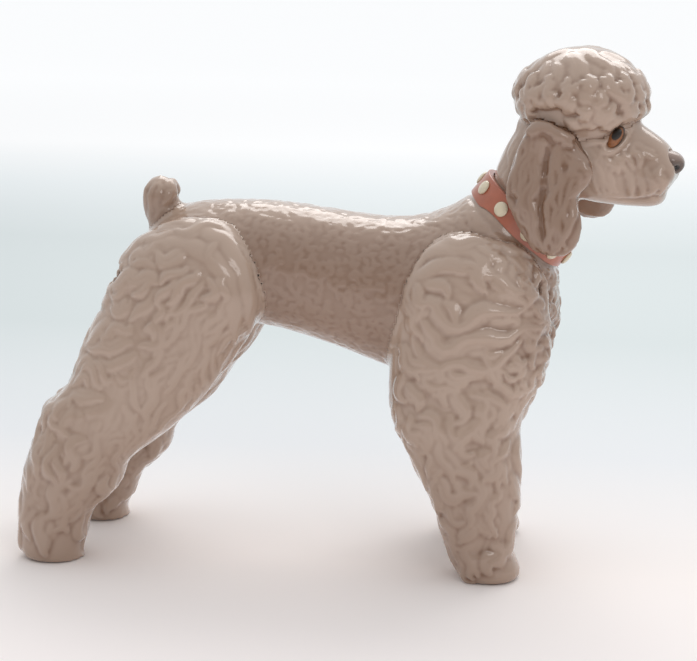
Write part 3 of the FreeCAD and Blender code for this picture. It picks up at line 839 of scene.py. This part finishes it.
def soften(body):
    """Rounds the skin off a little everywhere, and more where the legs and tail meet the torso."""
    points, _ = read(body)
    edges = edges_of(body)
    part, border = parts_at_points(body)
    luted = np.isin(part, [TORSO, *FORELEGS, *HIND_LEGS, TAIL]) + 0.55 * np.isin(part, [HEAD, TOPKNOT])
    near = np.clip(relax(border * luted, edges, 14) * 5, 0, 1)[:, None]
    smooth = relax(points, edges, 4)
    write(body, smooth + (relax(smooth, edges, 26, 0.6) - smooth) * near)


# Pushes that shape the head: where in its own axes on its right side, how far they reach, and how far they push.
PUSHES = [
    ((11, -22, 165), (5.5, 9, 6.0), (5.0, 0, 0)),
    ((11, -22, 151), (5.0, 9, 4.0), (-1.5, 0, 0)),
    ((6, -22, 140), (7.0, 9, 7.0), (2.0, -0.8, 0)),
    ((-3, -24, 177), (9, 6, 5.5), (0, -2.6, 1.6)),
    ((-3, -24, 184), (12, 6, 4.5), (0, 2.6, 1.0)),
    ((44, -5, 154), (4.5, 8, 5.0), (-2.2, 0, 0)),
    ((40, -9, 160), (6, 5, 5.0), (0, -1.2, 0)),
    ((23, -16, 181), (8, 5, 4.0), (0, -0.8, -0.6)),
]


def shape_head(body):
    """Pushes the ears, brow and muzzle about, alike on both sides."""
    points, _ = read(body)
    q = to_head(points)
    for at, reach, push in PUSHES:
        for side in (1, -1):
            there = np.array(at) * (1, side, 1)
            shove = np.array(push) * (1, side, 1)
            q = q + bump(q, there, reach)[:, None] * shove
    write(body, from_head(q))


def beside_collar(p, part):
    """1 under the collar's strap and fading to 0 away from it."""
    off = p - COLLAR_AT
    clear = step(np.abs(off @ COLLAR_AXIS), *STRAP_FADE)
    return (1 - clear) * (np.linalg.norm(off, axis=1) < STRAP_REACH) * np.isin(part, [TORSO, HEAD])


def stain_and_shade_at(p, part):
    """How strongly the sprayed stain and painted light and shade lie at each point: besides the stain, the top of the
    back is painted lighter as painted light from above, and the legs are painted darker towards the floor as painted
    shade.
    """
    q = to_head(p)
    amount = np.zeros(len(p))
    # Painted light: the stain thins towards the middle of the back and above z 128, so the top of the back reads lit
    # from above; on the flanks it is partly a real stain.
    side = step(np.abs(p[:, 1] - 0.9), 8, 18)
    amount += (part == TORSO) * (0.25 + 0.75 * side) * (1 - step(p[:, 2], 128, 146) * 0.6)
    amount += (part == HEAD) * (0.35 * step(q[:, 0], 22, 36) + 0.35 * step(-q[:, 0], -4, 8))
    amount += np.isin(part, EARS) * 0.95
    amount += (part == TAIL) * (0.65 - 0.8 * step(p[:, 2], 146, 152))
    amount += (part == TOPKNOT) * 0.12
    legs = np.isin(part, FORELEGS + HIND_LEGS)
    # Painted shade: the legs darken towards the floor.
    amount += legs * 0.55 * step(-p[:, 2], -85, -5)
    amount += np.isin(part, [TORSO, *FORELEGS]) * 0.6 * step(p[:, 0], 66, 78) * step(p[:, 2], 80, 92)
    return np.clip(amount, 0, 1)


def parts_at_points(body):
    """The part that each point belongs to, and how near it is to another part's border: 1 on it, 0 away from it."""
    mesh = body.data
    corners = fetch(mesh.loops, "vertex_index", kind=int)
    part = fetch(mesh.polygons, "material_index", kind=int)
    owner = np.repeat(part, fetch(mesh.polygons, "loop_total", kind=int))
    low = np.full(len(mesh.vertices), len(CASTINGS))
    high = np.full(len(mesh.vertices), -1)
    np.minimum.at(low, corners, owner)
    np.maximum.at(high, corners, owner)
    return high, (low != high).astype(float)


# ---- Materials
def porcelain(settings):
    """Glazed porcelain: the grooves and the seams between castings are painted darker as painted shade, so the ridges
    stay lighter; the flanks carry a sprayed stain that also holds painted light and shade.
    """
    m = Sheet("porcelain")
    # Painted shade: this attribute darkens the hollows between locks and the seams between castings.
    groove = m.attribute("groove")
    # The sprayed stain, with painted light and shade mixed in: lighter along the top of the back, darker down the
    # legs.
    tan = m.attribute("tan")
    cloud = m.noise(28.0, 3.0)
    body, tint = tuple(settings.body), tuple(settings.tint)
    stain_and_shade_mix = m.node("ShaderNodeClamp", {}, groove * 0.8 + tan * 0.55 + (cloud - 0.5) * 0.25)
    base = m.mix(stain_and_shade_mix, body, tint)
    return m.set(Base_Color=base, Roughness=0.16, Coat_Weight=0.6, Coat_Roughness=0.03)


def plain_glaze(name, tone, spread=0.25, roughness=0.2):
    m = Sheet(name)
    cloud = m.noise(220.0, 4.0)
    dark = tuple(c * (1 - spread) for c in tone)
    light = tuple(min(1.0, c * (1 + spread)) for c in tone)
    return m.set(Base_Color=m.mix(cloud, dark, light), Roughness=roughness, Coat_Weight=0.5, Coat_Roughness=0.04)


# ---- Operators
def even_skin(voxel):
    """The castings as one skin with its head shaped, divided finely enough to carry the locks."""
    body = join_castings()
    tree = BVHTree.FromObject(body, bpy.context.evaluated_depsgraph_get())
    part_of_face = fetch(body.data.polygons, "material_index", kind=int)
    outer_skin(body, voxel)
    mark_parts(body, tree, part_of_face)
    soften(body)
    shape_head(body)
    with editing(body):
        bpy.ops.mesh.subdivide(number_cuts=1)
    points, _ = read(body)
    write(body, relax(points, edges_of(body), 3))
    return body


def dress(skin, walker, seed):
    """Lays every fold, lock, curl and eyelid."""
    for parts, where, *row in FOLDS:
        chosen = np.flatnonzero(np.isin(skin.part, parts) & where(skin.points))
        fold(skin, *row, chosen, seed)
    grow(skin, walker, LAYERS, seed + 1)
    dress_legs(skin, walker)
    dress_tail(skin, walker)
    dress_ears(skin, walker)
    dress_face(skin, walker)
    for row in CURL_ROWS:
        ring_of_curls(skin, walker, *row)
    lids(skin)


def raise_coat(body, settings):
    """Moves the skin out by the locks' height, and stores the painted shade of the grooves and seams and the sprayed
    stain with its painted light and shade.
    """
    edges = edges_of(body)
    points, normals = read(body)
    part, border = parts_at_points(body)
    thin = np.arange(0, len(points), GUIDE_EVERY)
    skin = Skin(points, normals, part)
    dress(skin, Walker(points[thin], normals[thin], part[thin]), settings.seed)
    seam = np.clip(relax(border, edges, 9) * 3.5, 0, 1)
    height = skin.height * (1 - seam) - seam * np.isin(part, EARS) * EAR_SEAM_DEPTH
    height -= VENT_DEPTH * bump(points, VENT, VENT_RADIUS) * (normals[:, 2] < -0.5)
    strap = beside_collar(points, part)
    height = height * (1 - strap) - STRAP_DEPTH * strap
    height = relax(height, edges, 4, 0.6)
    valley = relax(height, edges, 12) - height
    shaped = points + normals * (height * settings.relief)[:, None]
    shaped[:, 2] = np.maximum(shaped[:, 2], 0.0)
    write(body, shaped)
    # Painted shade: darker in the hollows between locks (valley) and along the seams where the castings meet.
    give(body, "groove", np.clip(0.06 + valley * 3.2 + seam * 0.12, 0, 1))
    # Sprayed stain with painted light and shade mixed in.
    give(body, "tan", stain_and_shade_at(points, part))


class FIGURINE_OT_coat(bpy.types.Operator):
    """Casts the torso, head, legs, ears, topknot and tail as one skin with the coat's locks, then parts them"""
    bl_idname = "figurine.coat"
    bl_label = "Coat"

    def execute(self, context):
        settings = context.scene.figurine_coat
        body = even_skin(settings.voxel)
        raise_coat(body, settings)
        with editing(body):
            bpy.ops.mesh.separate(type="MATERIAL")
        glaze = porcelain(settings)
        pieces = [o for o in context.scene.objects if o.type == "MESH" and o.name.startswith("figure")]
        for piece in pieces:
            index = piece.data.polygons[0].material_index if len(piece.data.materials) > 1 else 0
            name = piece.data.materials[index].name[len("part_"):]
            with editing(piece):
                bpy.ops.mesh.fill_holes(sides=0)
            bpy.ops.object.shade_smooth()
            piece.data.materials.clear()
            piece.data.materials.append(glaze)
            piece.data.polygons.foreach_set("material_index", np.zeros(len(piece.data.polygons), int))
            piece.name = "coat_" + name
            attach(piece, "root")
            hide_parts(name)
        return {"FINISHED"}


def rounded(name, at, radii, turn, segments=64):
    """A ball drawn out to three radii, turned and moved into place. Returns it and its points before that."""
    bpy.ops.object.select_all(action="DESELECT")
    bpy.ops.mesh.primitive_uv_sphere_add(segments=segments, ring_count=segments * 3 // 4, radius=1.0)
    ball = bpy.context.object
    ball.name = name
    points = fetch(ball.data.vertices, "co", 3)
    write(ball, points * np.array(radii) @ np.array(turn) + np.array(at))
    only(ball)
    bpy.ops.object.shade_smooth()
    return ball, points


def model_eye(node, side, look):
    """A slanted glossy eye: dark pupil above, amber below, a dark line round it."""
    at = middle_mm(node) + LEFTWARD * side * 0.1
    long = AHEAD * math.cos(EYE_SLANT) + UP * math.sin(EYE_SLANT)
    outward = LEFTWARD * side
    short = np.cross(outward, long) * side
    eye, p = rounded("eye_" + node, at, (5.0, 2.45, 2.6), [long, short, outward])
    off = ((p[:, 0] - 0.34) / 0.50) ** 2 + ((p[:, 1] + 0.12) / 0.72) ** 2
    give(eye, "pupil", 1 - step(off, 0.80, 1.1))
    give(eye, "rim", step(1 - p[:, 2], 0.42, 0.72))
    eye.data.materials.append(look)
    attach(eye, "root")
    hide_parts(node)


def eye_glaze(settings):
    m = Sheet("eye_glaze")
    iris = tuple(settings.iris)
    fleck = m.noise(900.0, 2.0)
    amber = m.mix(fleck, tuple(c * 0.55 for c in iris), tuple(min(1, c * 1.5) for c in iris))
    seen = m.mix(m.attribute("pupil"), amber, NEARLY_BLACK)
    return m.set(Base_Color=m.mix(m.attribute("rim"), seen, (0.05, 0.025, 0.015)), Roughness=0.3, Coat_Weight=0.15,
                 Coat_Roughness=0.04)


def model_nose(look):
    """The nose leather: a soft block with a nostril pressed into each side and a groove between them, the pits and the
    groove painted near black as painted shade.
    """
    nose, p = rounded("nose_leather", NOSE_AT - AHEAD * 1.4 - UP * 0.9, (6.2, 5.0, 4.7), [AHEAD, LEFTWARD, UP], 96)
    points, normals = read(nose)
    dark = np.zeros(len(p))
    squared = points + unit(points - NOSE_AT) * np.abs(p[:, 1] * p[:, 2])[:, None]
    for side in (-1, 1):
        nostril = (0.66, 0.66 * side, -0.28)
        pit = bump(p, nostril, (0.30, 0.34, 0.30))
        rim = bump(p, nostril, (0.46, 0.52, 0.46)) - pit
        squared -= normals * (1.5 * pit)[:, None]
        squared += normals * (0.5 * rim)[:, None]
        dark = np.maximum(dark, step(pit, 0.25, 0.75))
    cleft = np.exp(-(p[:, 1] / 0.09) ** 2) * step(-p[:, 2], 0.0, 0.4) * step(p[:, 0], 0, 0.3)
    squared -= normals * (0.45 * cleft)[:, None]
    write(nose, squared)
    # Painted shade: the nostril pits and the cleft are painted dark.
    give(nose, "dark", np.maximum(dark, 0.7 * cleft))
    nose.data.materials.append(look)
    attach(nose, "root")
    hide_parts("nose")


def nose_glaze(settings):
    m = Sheet("nose_glaze")
    tone = tuple(settings.nose)
    # Painted light: the nose is painted up to three times lighter where it faces up, and near black in its nostrils
    # and cleft as painted shade.
    up = m.node("ShaderNodeSeparateXYZ", {}, m.node("ShaderNodeNewGeometry", {}, out=1), out=2)
    painted_top_light = m.mix(m.node("ShaderNodeMapRange", {}, up, -0.1, 0.9, 0.0, 1.0), tone, tuple(c * 3.0 for c in tone))
    return m.set(Base_Color=m.mix(m.attribute("dark"), painted_top_light, (0.012, 0.009, 0.008)), Roughness=0.22, Coat_Weight=0.5)


def model_studs(look):
    """A low round button over each stud of the collar."""
    with editing(copy_of("collar_studs")):
        bpy.ops.mesh.remove_doubles(threshold=SAME_POINT)
        bpy.ops.mesh.separate(type="LOOSE")
    islands = list(bpy.context.selected_objects)
    centres = [read(o)[0].mean(0) for o in islands]
    for o in islands:
        bpy.data.objects.remove(o)
    buttons = []
    for k, c in enumerate(centres):
        out = unit((c - COLLAR_AT) - COLLAR_AXIS * ((c - COLLAR_AT) @ COLLAR_AXIS))
        turn = [np.cross(COLLAR_AXIS, out), COLLAR_AXIS, out]
        button, _ = rounded(f"stud_{k}", c - out * STUD_SINK, STUD_RADII, turn, 32)
        buttons.append(button)
    studs = join(buttons)
    studs.name = "studs"
    studs.data.materials.append(look)
    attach(studs, "root")
    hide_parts("collar_studs")


class FIGURINE_OT_collar(bpy.types.Operator):
    """Glazes the collar's strap and lays a round button over each of its studs"""
    bl_idname = "figurine.collar"
    bl_label = "Collar"

    def execute(self, context):
        settings = context.scene.figurine_trim
        strap = plain_glaze("collar_glaze", tuple(settings.strap), 0.2, 0.3)
        for slot in frame["nodes"]["collar"].material_slots:
            slot.material = strap
        model_studs(plain_glaze("stud_glaze", tuple(settings.stud), 0.12, 0.25))
        return {"FINISHED"}


class FIGURINE_OT_eyes(bpy.types.Operator):
    """Models both eyes"""
    bl_idname = "figurine.eyes"
    bl_label = "Eyes"

    def execute(self, context):
        look = eye_glaze(context.scene.figurine_trim)
        model_eye("right_eye", -1, look)
        model_eye("left_eye", 1, look)
        return {"FINISHED"}


class FIGURINE_OT_nose(bpy.types.Operator):
    """Models the nose leather"""
    bl_idname = "figurine.nose"
    bl_label = "Nose"

    def execute(self, context):
        model_nose(nose_glaze(context.scene.figurine_trim))
        return {"FINISHED"}


# Where the camera stands round the figure and above the floor, and what it looks at.
AZIMUTH, ELEVATION = math.radians(9), math.radians(14)
TARGET = Vector((-0.456, 0.87, 91.5)) * MM
LIT_AT, LIGHT_TONE = (0, 0, 0.1), (1.0, 0.97, 0.95)
# Painted light on the sweep from front to back: the tones brighten and dim with depth as the studio light falls on the
# pale floor.
SWEEP_PAINTED_LIGHT = [(0.0, (0.99, 0.93, 0.92)), (0.09, (0.97, 0.92, 0.90)), (0.17, (0.76, 0.78, 0.80)),
               (0.28, (0.63, 0.68, 0.685)), (0.40, (0.65, 0.70, 0.705)), (0.50, (0.80, 0.84, 0.85)),
               (0.60, (1.0, 1.0, 1.0))]


def area_light(name, at, size, power):
    bpy.ops.object.light_add(type="AREA", location=at)
    light = bpy.context.object
    light.name = name
    light.data.shape = "RECTANGLE"
    light.data.size, light.data.size_y = size
    light.data.energy = power
    light.data.color = LIGHT_TONE
    light.rotation_euler = (Vector(LIT_AT) - Vector(at)).to_track_quat("-Z", "Y").to_euler()


class FIGURINE_OT_stage(bpy.types.Operator):
    """Lays the pale sweep, hangs the studio lights and sets the camera"""
    bl_idname = "figurine.stage"
    bl_label = "Stage"

    def execute(self, context):
        settings = context.scene.figurine_stage
        bpy.ops.mesh.primitive_plane_add(size=12.0, location=(0, 0, -0.0002))
        floor = bpy.context.object
        floor.name = "stage_floor"
        m = Sheet("sweep")
        depth = m.node("ShaderNodeMapRange", {}, m.node("ShaderNodeSeparateXYZ", {}, m.place(), out=1), -0.2, 1.8, 0.0,
                       1.0)
        # Painted light: the floor's tone follows depth as the light on it would, and far back it is given a painted
        # glow that brightens it though it is no lamp.
        tone = m.node("ShaderNodeValToRGB", {"stops": SWEEP_PAINTED_LIGHT}, depth)
        painted_glow = m.node("ShaderNodeMapRange", {}, depth, 0.45, 0.8, 0.0, 0.16)
        floor.data.materials.append(m.set(Base_Color=tone, Roughness=1.0, Specular_IOR_Level=0.0,
                                          Emission_Color=m.mix(painted_glow, (0, 0, 0), (1, 1, 1)), Emission_Strength=1.0))
        sky = bpy.data.worlds.new("studio")
        context.scene.world = sky
        sky.use_nodes = True
        m = Sheet.of_world(sky)
        way = m.node("ShaderNodeTexCoord", {}, out=0)
        split = m.tree.nodes.new("ShaderNodeSeparateXYZ")
        m.tree.links.new(way.socket, split.inputs[0])
        up, away = Value(m, split.outputs[2]), Value(m, split.outputs[1])
        glow = 0.60 + 0.34 * m.node("ShaderNodeClamp", {}, up) + 0.26 * away
        m.tree.links.new(glow.socket, sky.node_tree.nodes["Background"].inputs[1])
        sky.node_tree.nodes["Background"].inputs[0].default_value = (0.97, 0.985, 1.0, 1.0)
        area_light("light_above", (0.12, 0.55, 0.75), (0.8, 0.5), 3.0)
        area_light("light_front", (0.55, -0.9, 0.75), (0.35, 0.35), 1.0)
        context.scene.view_settings.view_transform = "Standard"
        back = Vector((math.sin(AZIMUTH) * math.cos(ELEVATION), -math.cos(AZIMUTH) * math.cos(ELEVATION),
                       math.sin(ELEVATION)))
        bpy.ops.object.camera_add(location=TARGET + back * settings.distance)
        camera = bpy.context.object
        camera.name = "camera"
        camera.rotation_euler = (-back).to_track_quat("-Z", "Y").to_euler()
        camera.data.lens = settings.lens
        camera.data.sensor_width = 36.0
        camera.data.clip_start = 0.01
        context.scene.camera = camera
        return {"FINISHED"}


class FIGURINE_PT_panel(bpy.types.Panel):
    bl_label = "Porcelain poodle"
    bl_space_type = "VIEW_3D"
    bl_region_type = "UI"
    bl_category = "Poodle"

    def draw(self, context):
        for operator in OPERATORS:
            self.layout.operator(operator.bl_idname)
        for name, group in SETTINGS.items():
            for field in group.__annotations__:
                self.layout.prop(getattr(context.scene, name), field)


SETTINGS = {"figurine_coat": CoatSettings, "figurine_trim": TrimSettings, "figurine_stage": StageSettings}
OPERATORS = [FIGURINE_OT_coat, FIGURINE_OT_collar, FIGURINE_OT_eyes, FIGURINE_OT_nose, FIGURINE_OT_stage]


def register():
    for cls in (*SETTINGS.values(), *OPERATORS, FIGURINE_PT_panel):
        bpy.utils.register_class(cls)
    for name, group in SETTINGS.items():
        setattr(bpy.types.Scene, name, bpy.props.PointerProperty(type=group))


def unregister():
    for name in SETTINGS:
        delattr(bpy.types.Scene, name)
    for cls in (FIGURINE_PT_panel, *OPERATORS, *SETTINGS.values()):
        bpy.utils.unregister_class(cls)


def main():
    register()
    bpy.ops.figurine.coat()
    bpy.ops.figurine.collar()
    bpy.ops.figurine.eyes()
    bpy.ops.figurine.nose()
    bpy.ops.figurine.stage()


if __name__ == "__main__":
    main()
